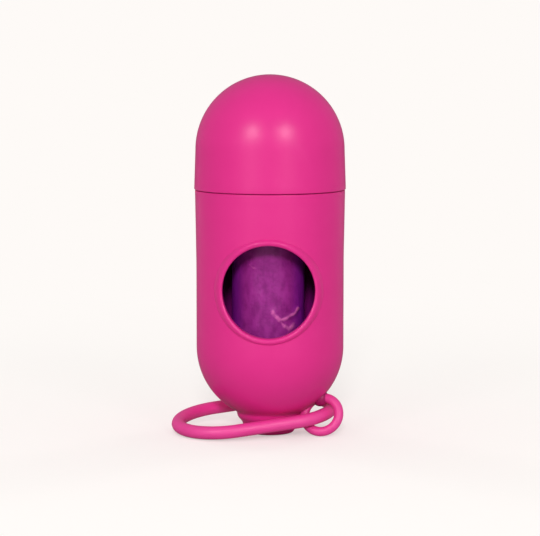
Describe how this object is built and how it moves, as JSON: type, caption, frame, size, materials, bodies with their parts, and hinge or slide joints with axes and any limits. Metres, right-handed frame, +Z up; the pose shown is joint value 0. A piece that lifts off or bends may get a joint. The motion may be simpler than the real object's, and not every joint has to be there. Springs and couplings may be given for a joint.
{
  "type": "dog poop bag dispenser",
  "caption": "Upright capsule that holds a roll of dog bags: pull-off domed cap, round front window with a raised bead, small foot, link ring and carrying loop.",
  "frame": {"origin": "centre of the flat under the foot, on the capsule's axis", "axes": "+Z up the capsule's axis to the top of the cap, -Y out of the window, +X towards the link ring"},
  "size_m": [0.0462, 0.0402, 0.0949],
  "materials": {
    "shell_plastic": "satin moulded, fine grain",
    "cap_plastic": "satin moulded, fine grain",
    "core_card": "raw wound cardboard",
    "bag_film": "thin film, soft sheen",
    "loose_film": "thin film, soft sheen, creased",
    "ring_rubber": "smooth moulded",
    "strap_rubber": "smooth moulded"
  },
  "bodies": {
    "shell": {"body_shell": "shell_plastic"},
    "lid": {"cap": "cap_plastic"},
    "roll": {"core_tube": "core_card", "bag_roll": "bag_film", "lead_bag": "loose_film"},
    "ring": {"link_ring": "ring_rubber"},
    "strap": {"strap_loop": "strap_rubber"}
  },
  "joints": [
    {"name": "cap_lift", "type": "slide", "parent": "shell", "child": "lid", "axis": [0, 0, 1], "range_m": [0, 0.03]},
    {"name": "roll_spin", "type": "hinge", "parent": "shell", "child": "roll", "pos_m": [-0.0005, 0, 0.0138], "axis": [0, 0, 1], "continuous": true},
    {"name": "ring_swing", "type": "hinge", "parent": "shell", "child": "ring", "pos_m": [0.01377, -0.00512, 0.00545], "axis": [0.2429, 0.8701, -0.4289], "range_deg": [-12, 0]},
    {"name": "strap_swing", "type": "hinge", "parent": "ring", "child": "strap", "pos_m": [0.01377, -0.00512, 0.00521], "axis": [0.6074, 0.7944, 0], "range_deg": [-110, 0]}
  ]
}
